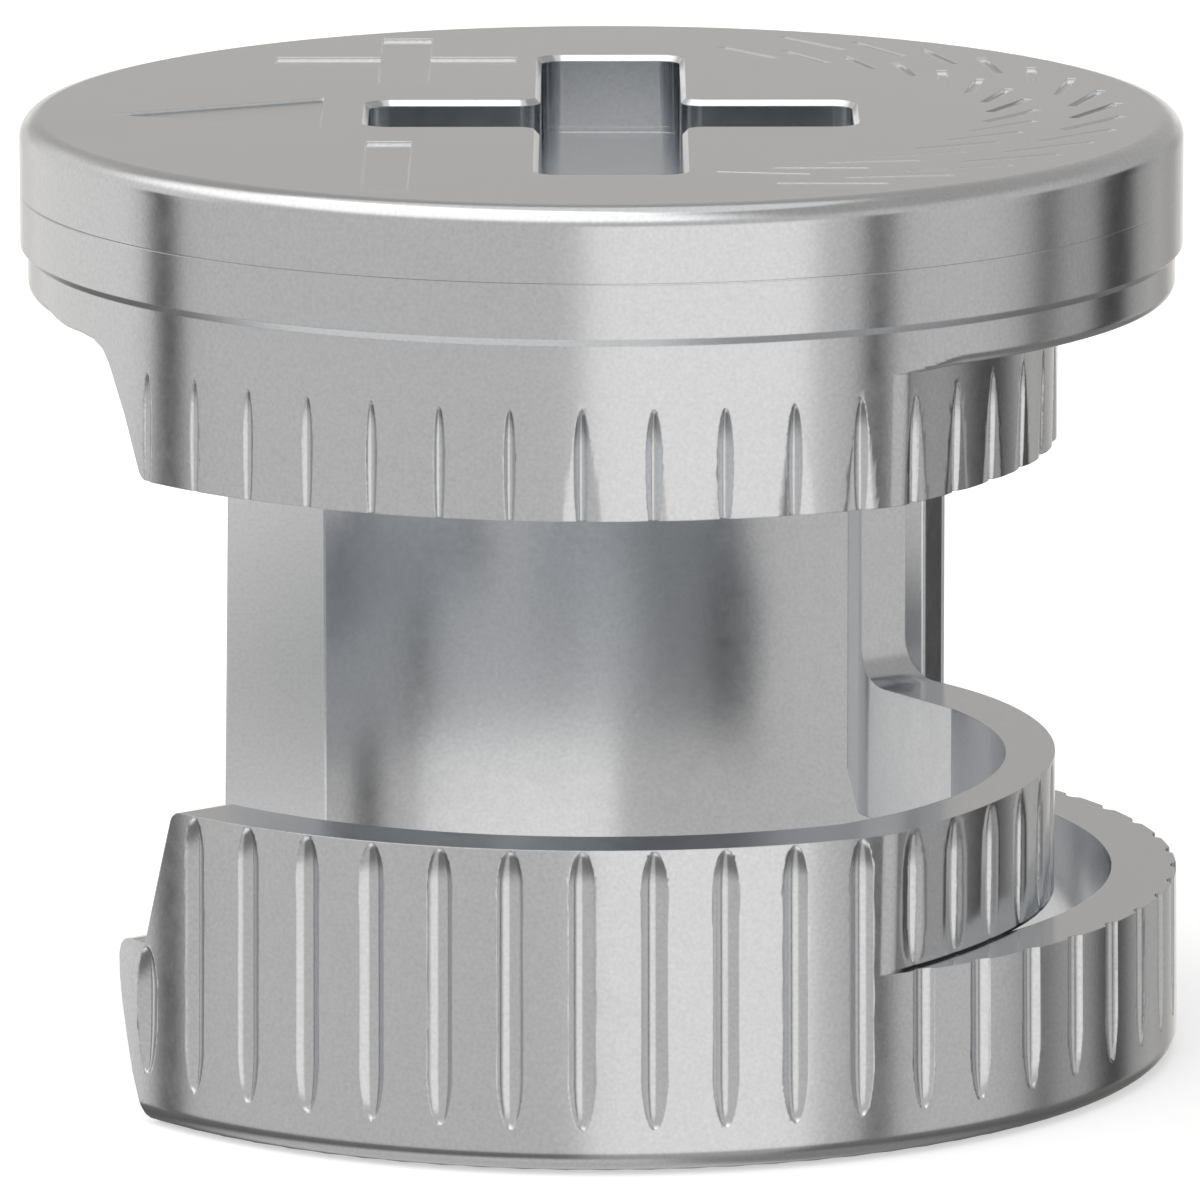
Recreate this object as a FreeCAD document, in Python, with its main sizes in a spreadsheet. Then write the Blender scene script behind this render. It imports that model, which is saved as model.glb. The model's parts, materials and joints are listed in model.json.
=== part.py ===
import FreeCAD, Part
import math
import os

import Sketcher

os.makedirs("parts", exist_ok=True)

# Housing of a furniture cam lock, die-cast in one piece from zinc alloy.
# Millimetres and degrees. Origin: centre of the bottom face, +Z up, the open
# front of the neck slot faces -Y. Azimuths count from -Y towards +X.

SIZES = {
    "total_height": 12.25,
    "head_radius": 7.5,
    "foot_radius": 7.5,
    "band_radius": 7.4,
    "rim_radius": 7.42,
    "bore_radius": 6.64,
    "parting_height": 11.29,
    "step_top": 10.6,
    "step_bottom": 10.5,
    "ceiling_height": 9.97,
    "ring_height": 2.35,
    "slot_bottom": 4.14,
    "slot_top": 8.3,
    "slot_end_round": 0.55,
    "window_round": 0.2,
    "turn_round": 0.8,
    "block_inner_round": 0.8,
    "block_round": 0.08,
    "web_round": 0.1,
    "web_edge_y": 5.5,
    "cam_front_x": -1.114,
    "cam_front_y": -1.196,
    "cam_front_radius": 6.965,
    "cam_entry_radius": 10.0,
    "cam_entry_y": -4.194,
    "cam_joint_y": 1.2,
    "cam_rear_radius": 5.6,
    "cam_inner_x": -0.459,
    "cam_inner_y": -1.436,
    "cam_inner_radius": 5.665,
    "cam_corner_y": 1.16,
    "block_outer_x": 4.555,
    "driver_x": 0.12,
    "driver_y": -0.15,
    "driver_depth": 1.03,
    "driver_long": 9.6,
    "driver_long_width": 1.82,
    "driver_cross": 6.24,
    "driver_cross_width": 2.06,
    "driver_round": 0.28,
    "driver_bevel": 0.07,
    "top_round": 0.19,
    "foot_round": 0.28,
    "groove_width": 0.33,
    "groove_floor": 0.065,
    "groove_depth": 0.09,
    "groove_taper": 0.38,
    "groove_pitch": 6.923,
    "groove_first": 5.0,
    "cam_groove_pitch": 7.3,
    "cam_groove_first": 67.6,
    "entry_groove_pitch": 5.2,
    "entry_groove_first": 50.9,
}


class Dim:
    """A size with its number and the sheet formula that gives it."""

    def __init__(self, value, text=None):
        self.value = float(value)
        self.text = text if text else "(%r)" % float(value)

    def __add__(self, other):
        other = dim(other)
        return Dim(self.value + other.value, "(%s + %s)" % (self.text, other.text))

    def __sub__(self, other):
        other = dim(other)
        return Dim(self.value - other.value, "(%s - %s)" % (self.text, other.text))

    def __mul__(self, other):
        other = dim(other)
        return Dim(self.value * other.value, "(%s * %s)" % (self.text, other.text))

    def __truediv__(self, other):
        other = dim(other)
        return Dim(self.value / other.value, "(%s / %s)" % (self.text, other.text))

    def __neg__(self):
        return Dim(-self.value, "(0 - %s)" % self.text)


def dim(value):
    """A Dim from a sheet name, a number or a Dim."""
    if isinstance(value, Dim):
        return value
    if isinstance(value, str):
        return Dim(SIZES[value], "dims." + value)
    return Dim(value)


def sine(angle):
    return Dim(math.sin(math.radians(angle.value)), "sin(%s * 1 deg)" % angle.text)


def cosine(angle):
    return Dim(math.cos(math.radians(angle.value)), "cos(%s * 1 deg)" % angle.text)


def bind(target, name, size):
    """Set a number and the formula that keeps it."""
    if "." not in name:
        setattr(target, name, size.value)
    target.setExpression(name, size.text)


doc = FreeCAD.newDocument("cam_housing")
sheet = doc.addObject("Spreadsheet::Sheet", "dims")
for row, (alias, number) in enumerate(SIZES.items(), start=1):
    sheet.set("A%d" % row, alias)
    sheet.set("B%d" % row, str(number))
    sheet.setAlias("B%d" % row, alias)
doc.recompute()

body = doc.addObject("PartDesign::Body", "casting")
PLANES = {item.Role: item for item in body.Origin.OriginFeatures}


def new_sketch(name, plane, shift=None, turn=0.0):
    """An empty sketch on one of the body's origin planes.

    shift is (x, y, z) in the plane's own axes, turn is the angle in degrees by
    which an upright plane is swung round the part's vertical axis."""
    sketch = body.newObject("Sketcher::SketchObject", name)
    sketch.AttachmentSupport = [(PLANES[plane], "")]
    sketch.MapMode = "FlatFace"
    rotation = FreeCAD.Rotation(FreeCAD.Vector(0, 1, 0), turn)
    offset = FreeCAD.Vector(0, 0, 0)
    if shift:
        offset = FreeCAD.Vector(*[part.value for part in shift])
    sketch.AttachmentOffset = FreeCAD.Placement(rotation.multVec(offset), rotation)
    if shift and not turn:
        for axis, part in zip("xyz", shift):
            sketch.setExpression("AttachmentOffset.Base." + axis, part.text)
    return sketch


def fix_point(sketch, edge, end, x=None, y=None):
    """Hold one end of an edge at signed distances from the sketch origin."""
    for kind, size in (("DistanceX", x), ("DistanceY", y)):
        if size is not None:
            size = dim(size)
            index = sketch.addConstraint(
                Sketcher.Constraint(kind, -1, 1, edge, end, size.value))
            sketch.setExpression("Constraints[%d]" % index, size.text)


def fix_radius(sketch, edge, size):
    size = dim(size)
    index = sketch.addConstraint(Sketcher.Constraint("Radius", edge, size.value))
    sketch.setExpression("Constraints[%d]" % index, size.text)


def join(sketch, first, first_end, second, second_end):
    sketch.addConstraint(
        Sketcher.Constraint("Coincident", first, first_end, second, second_end))


def add_line(sketch, start, end):
    return sketch.addGeometry(
        Part.LineSegment(FreeCAD.Vector(start[0], start[1], 0),
                         FreeCAD.Vector(end[0], end[1], 0)))


def add_arc(sketch, centre, radius, start, end):
    """Arc counter-clockwise from the point start to the point end."""
    angles = [math.atan2(point[1] - centre[1], point[0] - centre[0])
              for point in (start, end)]
    circle = Part.Circle(FreeCAD.Vector(centre[0], centre[1], 0),
                         FreeCAD.Vector(0, 0, 1), radius)
    return sketch.addGeometry(Part.ArcOfCircle(circle, angles[0], angles[1]))


def add_polygon(sketch, corners):
    """Closed outline through corners given as pairs of sizes."""
    corners = [(dim(x), dim(y)) for x, y in corners]
    values = [(x.value, y.value) for x, y in corners]
    edges = [add_line(sketch, values[k], values[(k + 1) % len(values)])
             for k in range(len(values))]
    for k, edge in enumerate(edges):
        join(sketch, edge, 2, edges[(k + 1) % len(edges)], 1)
        fix_point(sketch, edge, 1, *corners[k])
    return edges


def pocket(name, sketch, depth, upwards=True):
    """Cut the sketch outline out of the body over a depth."""
    feature = body.newObject("PartDesign::Pocket", name)
    feature.Profile = sketch
    bind(feature, "Length", dim(depth))
    feature.Reversed = upwards
    doc.recompute()
    check(feature)
    return feature


def check(feature):
    """Stop when a feature has failed."""
    bad = {"Invalid", "Error"} & set(feature.State)
    if bad or feature.Shape.isNull() or not feature.Shape.isValid():
        raise RuntimeError("%s is not a sound shape" % feature.Name)


def edges_where(shape, test):
    """Names of the edges whose middle point and ends pass the test."""
    names = []
    for number, edge in enumerate(shape.Edges, start=1):
        middle = edge.valueAt((edge.FirstParameter + edge.LastParameter) / 2)
        if test(edge, middle):
            names.append("Edge%d" % number)
    return names


def azimuth(point):
    return math.degrees(math.atan2(point.x, -point.y))


def dress(kind, name, test, size):
    """Round or bevel the edges that pass a test."""
    base = body.Tip
    names = edges_where(base.Shape, test)
    if not names:
        raise RuntimeError("%s finds no edge" % name)
    feature = body.newObject("PartDesign::" + kind, name)
    feature.Base = (base, names)
    bind(feature, "Radius" if kind == "Fillet" else "Size", dim(size))
    doc.recompute()
    check(feature)
    return feature


def vertical(edge):
    """True for a straight upright edge."""
    start = edge.valueAt(edge.FirstParameter)
    end = edge.valueAt(edge.LastParameter)
    return (abs(start.x - end.x) < 1e-4 and abs(start.y - end.y) < 1e-4
            and abs(start.z - end.z) > 0.2)


def beside(mid, place, reach=0.1):
    """True when a point lies over a place given in plan."""
    return math.hypot(mid.x - place[0], mid.y - place[1]) < reach


def at_level(mid, name):
    return abs(mid.z - SIZES[name]) < 2e-3


# Outer form: foot, slightly drafted wall, head with a small step under it.
def round_corner(radius, height, size, upwards):
    """Three flats that follow a quarter round on the outer rim of the profile."""
    corners = []
    for step in range(4):
        angle = math.radians(30 * (step if upwards else 3 - step))
        across = dim(size) * (1 - math.cos(angle))
        down = dim(size) * (1 - math.sin(angle))
        level = dim(height) - down if upwards else dim(height) + down
        corners.append((dim(radius) - across, level))
    return corners


outer = new_sketch("outer_profile", "XZ_Plane")
add_polygon(outer, [
    (0, 0),
    *round_corner("foot_radius", 0, "foot_round", False),
    ("band_radius", "step_bottom"),
    ("head_radius", "step_top"),
    ("head_radius", "parting_height"),
    *round_corner("rim_radius", "total_height", "top_round", True),
    (0, "total_height"),
])
solid = body.newObject("PartDesign::Revolution", "outer_form")
solid.Profile = outer
solid.ReferenceAxis = (outer, ["V_Axis"])
solid.Angle = 360
doc.recompute()
check(solid)

# Bore of the foot ring, open at the bottom.
foot_bore = new_sketch("foot_bore_outline", "XY_Plane")
circle = foot_bore.addGeometry(
    Part.Circle(FreeCAD.Vector(0, 0, 0), FreeCAD.Vector(0, 0, 1), SIZES["bore_radius"]))
join(foot_bore, circle, 3, -1, 1)
fix_radius(foot_bore, circle, "bore_radius")
pocket("foot_bore", foot_bore, "ring_height")

# Room inside the housing. The bolt head rides on its right-hand side, where the
# wall bends away from the bore and closes in on the axis as a cam.
BLOCK_INNER_TOP = (3.31, 5.76)
SLOT_END_INNER = (3.4, 2.85)
room = new_sketch("room_outline", "XY_Plane")
bore = SIZES["bore_radius"]
inner_centre = (SIZES["cam_inner_x"], SIZES["cam_inner_y"])
cam_start = (3.65, -5.35)
cam_corner = (4.54, SIZES["cam_corner_y"])
back_arc = add_arc(room, (0, 0), bore, BLOCK_INNER_TOP, cam_start)
cam_arc = add_arc(room, inner_centre, SIZES["cam_inner_radius"], cam_start, cam_corner)
cam_flat = add_line(room, cam_corner, SLOT_END_INNER)
block_side = add_line(room, SLOT_END_INNER, BLOCK_INNER_TOP)
chain = [back_arc, cam_arc, cam_flat, block_side]
for k, edge in enumerate(chain):
    join(room, edge, 2, chain[(k + 1) % len(chain)], 1)
join(room, back_arc, 3, -1, 1)
fix_radius(room, back_arc, "bore_radius")
fix_point(room, cam_arc, 3, "cam_inner_x", "cam_inner_y")
fix_radius(room, cam_arc, "cam_inner_radius")
fix_point(room, cam_flat, 1, None, "cam_corner_y")
fix_point(room, block_side, 1, *SLOT_END_INNER)
fix_point(room, back_arc, 1, BLOCK_INNER_TOP[0], None)
pocket("room", room, "ceiling_height")
dress("Fillet", "block_inner",
      lambda edge, mid: vertical(edge) and beside(mid, SLOT_END_INNER),
      "block_inner_round")

# Outside of the cam wall: the housing wall is cut away above the foot ring from
# the front right round to the block at the back right.
SLOT_END_OUTER = (4.02, 3.34)
BLOCK_FACE = (4.275, 3.36)
BLOCK_SHOULDER = (4.513, 3.77)
FAR = 9.5
outside = new_sketch("outside_outline", "XY_Plane")
front_centre = (SIZES["cam_front_x"], SIZES["cam_front_y"])
cam_entry = (5.172, SIZES["cam_entry_y"])
cam_joint = (5.43, SIZES["cam_joint_y"])
ratio = SIZES["cam_rear_radius"] / SIZES["cam_front_radius"]
rear_centre = tuple(j + (c - j) * ratio for j, c in zip(cam_joint, front_centre))
ratio = SIZES["cam_entry_radius"] / SIZES["cam_front_radius"]
entry_centre = tuple(j + (c - j) * ratio for j, c in zip(cam_entry, front_centre))
OUTSIDE_START = (3.1, entry_centre[1] - math.sqrt(
    SIZES["cam_entry_radius"] ** 2 - (3.1 - entry_centre[0]) ** 2))
entry_arc = add_arc(outside, entry_centre, SIZES["cam_entry_radius"], OUTSIDE_START,
                    cam_entry)
front_arc = add_arc(outside, front_centre, SIZES["cam_front_radius"], cam_entry, cam_joint)
rear_arc = add_arc(outside, rear_centre, SIZES["cam_rear_radius"], cam_joint,
                   SLOT_END_OUTER)
fix_point(outside, front_arc, 3, "cam_front_x", "cam_front_y")
fix_radius(outside, front_arc, "cam_front_radius")
fix_radius(outside, rear_arc, "cam_rear_radius")
fix_radius(outside, entry_arc, "cam_entry_radius")
fix_point(outside, front_arc, 1, None, "cam_entry_y")
fix_point(outside, rear_arc, 1, None, "cam_joint_y")
block_x = dim("block_outer_x")
block_points = [
    (SLOT_END_OUTER[0], SLOT_END_OUTER[1]),
    (BLOCK_FACE[0], BLOCK_FACE[1]),
    (BLOCK_SHOULDER[0], BLOCK_SHOULDER[1]),
    (block_x, BLOCK_SHOULDER[1] + 0.14),
    (block_x, FAR),
    (FAR, FAR),
    (FAR, -FAR),
    (OUTSIDE_START[0], -FAR),
    OUTSIDE_START,
]
block_points = [(dim(x), dim(y)) for x, y in block_points]
rest = [add_line(outside, (a[0].value, a[1].value), (b[0].value, b[1].value))
        for a, b in zip(block_points, block_points[1:])]
for edge, corner in zip(rest[1:], block_points[1:]):
    fix_point(outside, edge, 1, *corner)
fix_point(outside, entry_arc, 1, OUTSIDE_START[0], None)
fix_point(outside, rear_arc, 2, None, SLOT_END_OUTER[1])
outside.addConstraint(Sketcher.Constraint("Tangent", entry_arc, 2, front_arc, 1))
outside.addConstraint(Sketcher.Constraint("Tangent", front_arc, 2, rear_arc, 1))
chain = [rear_arc] + rest + [entry_arc]
for first, second in zip(chain, chain[1:]):
    join(outside, first, 2, second, 1)
outside.setExpression("AttachmentOffset.Base.z", "dims.ring_height")
doc.recompute()
pocket("outside", outside, dim("ceiling_height") - dim("ring_height"))

# Entry window on the left. Its front edge is cut square to the wall.
WINDOW_AZIMUTH = -51.0
window = new_sketch("window_outline", "XZ_Plane", turn=WINDOW_AZIMUTH)
add_polygon(window, [
    (-0.0, -1.0),
    (-0.05, 0.15),
    (-0.24, 0.62),
    (-0.36, 1.05),
    (-0.47, 1.5),
    (-0.53, 1.85),
    (-0.54, dim("ring_height") - 0.24),
    (-0.50, dim("ring_height") - 0.10),
    (-0.40, dim("ring_height") - 0.02),
    (-0.26, dim("ring_height")),
    (0.03, dim("ring_height")),
    (0.57, dim("slot_bottom")),
    (0.57, dim("slot_top") - 0.5),
    (-0.05, dim("slot_top")),
    (-0.42, 9.10),
    (-0.65, 9.48),
    (-0.79, 9.70),
    (-0.94, 9.85),
    (-1.17, 9.94),
    (-1.5, "ceiling_height"),
    (-6.2, "ceiling_height"),
    (-6.2, -1.0),
])
pocket("window", window, FAR)

# The window's back edge is a flat face from top to bottom.
gap = new_sketch("gap_outline", "XY_Plane")
add_polygon(gap, [
    (-FAR, -1.6), (-3.0, -1.6), (-3.0, "web_edge_y"), (-FAR, "web_edge_y")])
pocket("gap", gap, "ceiling_height")

# Neck slot from the window round the front to the end of the cam.
slot = new_sketch("slot_outline", "XY_Plane")
add_polygon(slot, [
    (-FAR, -FAR), (FAR, -FAR), (FAR, SLOT_END_OUTER[1] - 0.75), SLOT_END_OUTER,
    SLOT_END_INNER, (3.0, 2.0), (-3.0, -1.9), (-FAR, -1.9)])
slot.setExpression("AttachmentOffset.Base.z", "dims.slot_bottom")
doc.recompute()
pocket("neck_slot", slot, dim("slot_top") - dim("slot_bottom"))

# Cross recess for the driver, sunk in the top.
driver = new_sketch("driver_outline", "XY_Plane")
half_long = dim("driver_long") / 2
half_cross = dim("driver_cross") / 2
half_a = dim("driver_long_width") / 2
half_b = dim("driver_cross_width") / 2
cx = dim("driver_x")
cy = dim("driver_y")
cross = [
    (half_a, half_long), (-half_a, half_long), (-half_a, half_b), (-half_cross, half_b),
    (-half_cross, -half_b), (-half_a, -half_b), (-half_a, -half_long),
    (half_a, -half_long), (half_a, -half_b), (half_cross, -half_b),
    (half_cross, half_b), (half_a, half_b)]
add_polygon(driver, [(cx + x, cy + y) for x, y in cross])
driver.setExpression("AttachmentOffset.Base.z", "dims.total_height")
doc.recompute()
pocket("driver_recess", driver, "driver_depth", upwards=False)


TOP = SIZES["total_height"]
SLOT_END = ((SLOT_END_INNER[0] + SLOT_END_OUTER[0]) / 2,
            (SLOT_END_INNER[1] + SLOT_END_OUTER[1]) / 2)
dress("Fillet", "driver_corners",
      lambda edge, mid: vertical(edge) and mid.z > TOP - SIZES["driver_depth"]
      and math.hypot(mid.x, mid.y) < 5.6, "driver_round")
dress("Chamfer", "driver_mouth",
      lambda edge, mid: abs(mid.z - TOP) < 2e-3 and math.hypot(mid.x, mid.y) < 6.0,
      "driver_bevel")
dress("Fillet", "slot_end",
      lambda edge, mid: beside(mid, SLOT_END, 0.05)
      and (at_level(mid, "slot_bottom") or at_level(mid, "slot_top")),
      "slot_end_round")
dress("Fillet", "window_corners",
      lambda edge, mid: math.hypot(mid.x, mid.y) < SIZES["foot_radius"] - 0.3
      and -54 < azimuth(mid) < -44
      and (at_level(mid, "slot_bottom") or at_level(mid, "slot_top")),
      "window_round")
dress("Fillet", "wall_turn",
      lambda edge, mid: math.hypot(mid.x, mid.y) > SIZES["band_radius"] - 0.1
      and 26 < azimuth(mid) < 31 and edge.Length > 1.0
      and SIZES["ring_height"] + 0.2 < mid.z < SIZES["ceiling_height"] - 0.2,
      "turn_round")
dress("Fillet", "block_edges",
      lambda edge, mid: vertical(edge)
      and (beside(mid, BLOCK_FACE) or beside(mid, BLOCK_SHOULDER)
           or beside(mid, (SIZES["block_outer_x"], BLOCK_SHOULDER[1] + 0.14))),
      "block_round")
dress("Fillet", "web_edge",
      lambda edge, mid: vertical(edge) and mid.x < -3.0
      and abs(mid.y - SIZES["web_edge_y"]) < 1e-3
      and math.hypot(mid.x, mid.y) < SIZES["bore_radius"] + 0.1, "web_round")

# Grooves across the outside of the walls, one row for each tier. They are formed
# as slim blades in a body of their own and taken out of the housing together.
blades = doc.addObject("PartDesign::Body", "groove_blades")
blades.AllowCompound = True
BLADE_PLANES = {item.Role: item for item in blades.Origin.OriginFeatures}


def arc_axis(name, centre):
    """An empty sketch whose normal is the upright axis of a wall's arc."""
    sketch = blades.newObject("Sketcher::SketchObject", name)
    sketch.AttachmentSupport = [(BLADE_PLANES["XY_Plane"], "")]
    sketch.MapMode = "FlatFace"
    bind(sketch, "AttachmentOffset.Base.x", centre[0])
    bind(sketch, "AttachmentOffset.Base.y", centre[1])
    return (sketch, ["N_Axis"]), centre


def groove_sketch(name, centre, distance, angle, low, high, rise):
    """Long six-sided outline of a groove at some rise over the wall's surface."""
    sketch = blades.newObject("Sketcher::SketchObject", name)
    sketch.AttachmentSupport = [(BLADE_PLANES["XZ_Plane"], "")]
    sketch.MapMode = "FlatFace"
    reach = distance + rise
    along = centre[0] + reach * sine(angle)
    out = reach * cosine(angle) - centre[1]
    sketch.AttachmentOffset = FreeCAD.Placement(
        FreeCAD.Vector(along.value, 0, out.value),
        FreeCAD.Rotation(FreeCAD.Vector(0, 1, 0), angle.value))
    sketch.setExpression("AttachmentOffset.Base.x", along.text)
    sketch.setExpression("AttachmentOffset.Base.z", out.text)
    half = dim("groove_width") / 2
    share = rise / dim("groove_depth")
    side = half + (half - dim("groove_floor") / 2) * share
    tip = dim("groove_taper") * share
    shoulder = dim("groove_taper") * (Dim(1) - share * 0.18)
    left = -side
    add_polygon(sketch, [
        (left, low + shoulder), (0, low - tip), (side, low + shoulder),
        (side, high - shoulder), (0, high + tip), (left, high - shoulder)])
    return sketch


def groove_row(name, axis, centre, distance, angle, pitch, count, low, high):
    """A row of equal grooves, evenly spaced round an upright axis."""
    depth = dim("groove_depth")
    mouth = groove_sketch(name + "_mouth", centre, distance, angle, low, high,
                          depth * 0.5)
    floor = groove_sketch(name + "_floor", centre, distance, angle, low, high, -depth)
    feature = blades.newObject("PartDesign::AdditiveLoft", name)
    feature.Profile = mouth
    feature.Sections = [floor]
    feature.Ruled = True
    feature.Refine = False
    doc.recompute()
    check(feature)
    if count == 1:
        return
    row = blades.newObject("PartDesign::PolarPattern", name + "_row")
    row.Originals = [feature]
    row.Axis = axis
    row.Occurrences = count
    row.Refine = False
    bind(row, "Angle", pitch * (count - 1))
    blades.Tip = row
    doc.recompute()
    check(row)


MAIN = ((BLADE_PLANES["Z_Axis"], [""]), (dim(0), dim(0)))
CAM = arc_axis("cam_axis", (dim("cam_front_x"), dim("cam_front_y")))
ENTRY = arc_axis("entry_axis", (Dim(entry_centre[0]), Dim(entry_centre[1])))
pitch = dim("groove_pitch")
first = dim("groove_first")
low_wall = dim("foot_radius") - 0.022
high_wall = dim("band_radius") + 0.017
low_tier = (dim(0.78), dim("slot_bottom") - 0.05)
high_tier = (dim("slot_top") + 0.04, dim("ceiling_height") - 0.31)
ring_tier = (dim(0.68), dim("ring_height") + 0.6)
left_tier = (dim(0.8), dim("ring_height") - 0.17)
groove_row("grooves_low", *MAIN, low_wall, first - pitch * 7, pitch, 11, *low_tier)
groove_row("grooves_high", *MAIN, high_wall, first - pitch * 8, pitch, 12, *high_tier)
groove_row("groove_left", *MAIN, low_wall, first - pitch * 8, pitch, 1, *left_tier)
groove_row("grooves_ring", *MAIN, low_wall, first + pitch * 4, pitch, 17, *ring_tier)
groove_row("grooves_web_low", *MAIN, low_wall, first + pitch * 21, pitch, 10, *low_tier)
groove_row("grooves_web_high", *MAIN, high_wall, first + pitch * 21, pitch, 10,
           *high_tier)
cam_pitch = dim("cam_groove_pitch")
cam_first = dim("cam_groove_first")
cam_low = (dim("ring_height") + 0.08, dim("slot_bottom") - 0.05)
cam_high = (dim("slot_top") + 0.04, dim("ceiling_height") - 0.35)
entry_pitch = dim("entry_groove_pitch")
entry_first = dim("entry_groove_first")
for tier, levels in (("low", cam_low), ("high", cam_high)):
    groove_row("grooves_entry_" + tier, *ENTRY, dim("cam_entry_radius"), entry_first,
               entry_pitch, 3, *levels)
    groove_row("grooves_cam_" + tier, *CAM, dim("cam_front_radius"), cam_first,
               cam_pitch, 5, *levels)

housing = doc.addObject("Part::Cut", "cam_housing")
housing.Label = "cam_housing"
housing.Base = body
housing.Tool = blades
housing.Refine = False
doc.recompute()

for item in doc.Objects:
    if {"Invalid", "Error"} & set(item.State):
        raise RuntimeError("%s has failed" % item.Name)
shape = housing.Shape
if shape.isNull() or not shape.isValid() or len(shape.Solids) != 1:
    raise RuntimeError("the housing is not one sound solid")
if not shape.Volume < body.Shape.Volume:
    raise RuntimeError("the grooves take nothing away")
shape.exportStep("parts/%s.step" % housing.Label)
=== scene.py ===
import json
import logging
import math
from dataclasses import dataclass, field, replace
from enum import Enum

import bpy
import numpy as np
from mathutils import Euler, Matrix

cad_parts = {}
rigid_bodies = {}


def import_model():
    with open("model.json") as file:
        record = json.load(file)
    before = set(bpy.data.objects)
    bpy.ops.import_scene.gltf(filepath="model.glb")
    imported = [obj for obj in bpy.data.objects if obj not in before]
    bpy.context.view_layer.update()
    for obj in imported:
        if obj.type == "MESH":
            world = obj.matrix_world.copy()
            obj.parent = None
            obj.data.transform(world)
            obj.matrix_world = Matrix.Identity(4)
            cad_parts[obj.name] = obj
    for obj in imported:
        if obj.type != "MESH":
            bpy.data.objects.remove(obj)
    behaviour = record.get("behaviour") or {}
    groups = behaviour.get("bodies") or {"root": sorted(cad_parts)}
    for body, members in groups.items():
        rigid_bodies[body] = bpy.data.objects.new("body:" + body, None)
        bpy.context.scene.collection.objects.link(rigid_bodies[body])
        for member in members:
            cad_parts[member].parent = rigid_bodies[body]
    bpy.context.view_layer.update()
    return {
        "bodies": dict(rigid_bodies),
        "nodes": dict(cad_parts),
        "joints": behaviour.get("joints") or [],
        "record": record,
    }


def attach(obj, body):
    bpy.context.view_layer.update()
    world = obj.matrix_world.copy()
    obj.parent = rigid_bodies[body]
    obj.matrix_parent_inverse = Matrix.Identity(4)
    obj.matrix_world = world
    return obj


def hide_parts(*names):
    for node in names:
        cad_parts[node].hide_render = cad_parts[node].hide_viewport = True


LOG = logging.getLogger("cam_housing")
MM = 0.001


class Signal:
    """A shader value that can be used in plain formulas."""

    def __init__(self, graph: "NodeGraph", socket: bpy.types.NodeSocket) -> None:
        """Hold an output socket of a node graph."""
        self.graph = graph
        self.socket = socket

    def maths(self, kind: str, *values: "Signal | float") -> "Signal":
        """Add one Math node.

        Args:
            kind: the node's operation.
            values: its inputs in order, signals or numbers.

        Returns:
            The node's result.
        """
        node = self.graph.node("ShaderNodeMath", {"operation": kind}, dict(enumerate(values)))
        return self.graph.signal(node, 0)

    def __add__(self, other: "Signal | float") -> "Signal":
        """Sum."""
        return self.maths("ADD", self, other)

    def __radd__(self, other: float) -> "Signal":
        """Sum with a number on the left."""
        return self.maths("ADD", other, self)

    def __sub__(self, other: "Signal | float") -> "Signal":
        """Difference."""
        return self.maths("SUBTRACT", self, other)

    def __rsub__(self, other: float) -> "Signal":
        """Difference with a number on the left."""
        return self.maths("SUBTRACT", other, self)

    def __mul__(self, other: "Signal | float") -> "Signal":
        """Product."""
        return self.maths("MULTIPLY", self, other)

    def __rmul__(self, other: float) -> "Signal":
        """Product with a number on the left."""
        return self.maths("MULTIPLY", other, self)

    def size(self) -> "Signal":
        """Absolute value."""
        return self.maths("ABSOLUTE", self)

    def azimuth(self, across: "Signal") -> "Signal":
        """Angle in degrees of a direction, this value being its sideways part."""
        return self.maths("ARCTAN2", self, across) * (180.0 / math.pi)

    def turned(self, angle: float) -> "Signal":
        """An angle in degrees measured from another, between -180 and 180."""
        return self.maths("WRAP", self - angle, 180.0, -180.0)

    def ramp(self, start: float, end: float) -> "Signal":
        """Smooth rise from 0 to 1.

        Args:
            start: value where the rise begins.
            end: value where it is complete; it may be the lower of the two.

        Returns:
            The risen value.
        """
        node = self.graph.node(
            "ShaderNodeMapRange",
            {"interpolation_type": "SMOOTHSTEP"},
            {"Value": self, "From Min": start, "From Max": end},
        )
        return self.graph.signal(node, "Result")

    def between(self, first: "Signal | float", second: "Signal | float") -> "Signal":
        """The first value where this one is 0, the second where it is 1."""
        return self * (second - first) + first


class NodeGraph:
    """Builds the node tree of one material or world."""

    def __init__(self, owner: bpy.types.Material | bpy.types.World) -> None:
        """Start an empty tree.

        Args:
            owner: the material or world that the tree belongs to.
        """
        owner.use_nodes = True
        self.tree = owner.node_tree
        self.tree.nodes.clear()

    def node(self, kind: str, settings: dict | None = None,
             inputs: dict | None = None) -> bpy.types.Node:
        """Add a node.

        Args:
            kind: type name of the node.
            settings: the node's own settings, set first.
            inputs: socket names or numbers with their values or signals.

        Returns:
            The new node.
        """
        made = self.tree.nodes.new(kind)
        for name, value in (settings or {}).items():
            setattr(made, name, value)
        for name, value in (inputs or {}).items():
            if isinstance(value, Signal):
                self.tree.links.new(value.socket, made.inputs[name])
            else:
                made.inputs[name].default_value = value
        return made

    def signal(self, node: bpy.types.Node, name: str | int) -> Signal:
        """An output of a node."""
        return Signal(self, node.outputs[name])

    def place(self, name: str = "Object") -> tuple[Signal, tuple[Signal, Signal, Signal]]:
        """Coordinates of a point.

        Args:
            name: the kind of coordinates.

        Returns:
            The coordinates as a whole, and their three parts.
        """
        whole = self.signal(self.node("ShaderNodeTexCoord"), name)
        split = self.node("ShaderNodeSeparateXYZ", None, {"Vector": whole})
        return whole, tuple(self.signal(split, axis) for axis in "XYZ")


class Grain(Enum):
    """Layers of the surface grain: waves per metre, and their detail."""

    FINE = (20000.0, 1.0)
    MIDDLE = (4200.0, 3.0)
    BROAD = (420.0, 2.0)


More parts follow.
